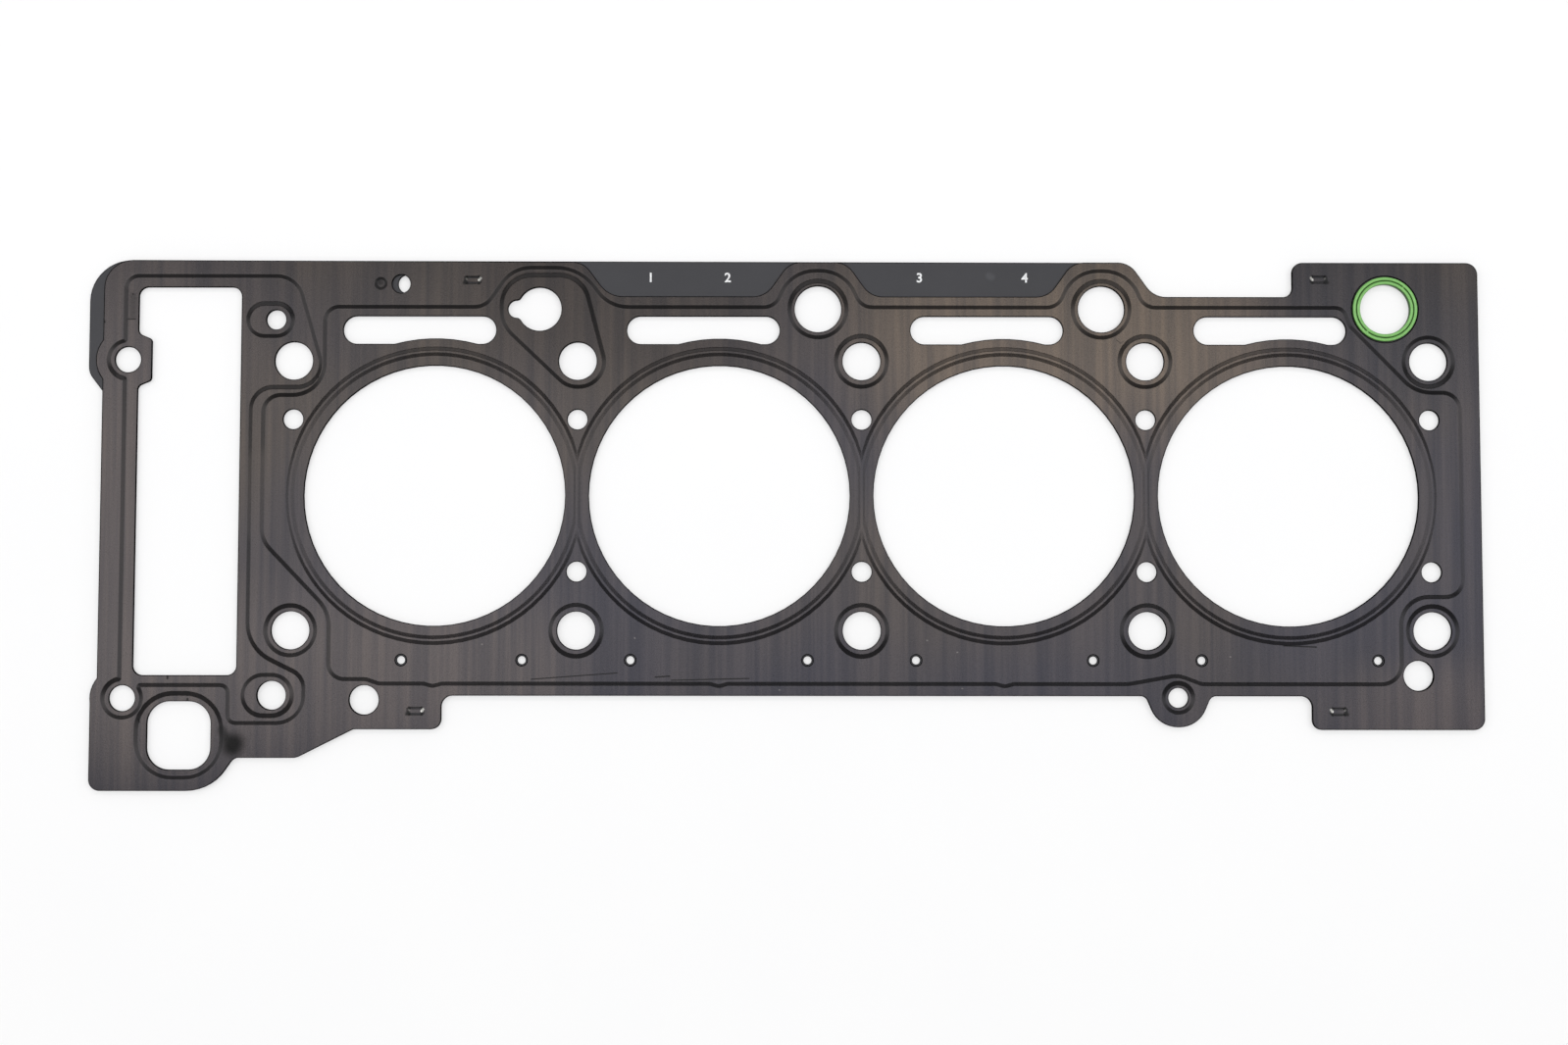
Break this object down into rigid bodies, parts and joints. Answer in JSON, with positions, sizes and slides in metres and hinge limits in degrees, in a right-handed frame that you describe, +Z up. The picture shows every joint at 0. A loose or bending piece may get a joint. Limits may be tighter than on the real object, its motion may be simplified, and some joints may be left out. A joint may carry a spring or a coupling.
{
  "type": "cylinder head gasket",
  "caption": "Multi-layer steel gasket for a four-cylinder head, with beaded top sheet, flat carrier, clinched joints and a rubber ring seal.",
  "frame": {"origin": "centre of the head bolt grid, on the underside of the carrier sheet", "axes": "+X along the row of bores, away from the timing case end; +Y across the row, towards the long coolant slots; +Z up out of the beaded face"},
  "size_m": [0.4411, 0.1679, 0.0022],
  "materials": {
    "coated_steel": "satin",
    "carrier_steel": "matte",
    "green_rubber": "satin"
  },
  "bodies": {
    "root": {"carrier_layer": "carrier_steel", "top_layer": "coated_steel", "seal_ring": "green_rubber"}
  },
  "joints": []
}
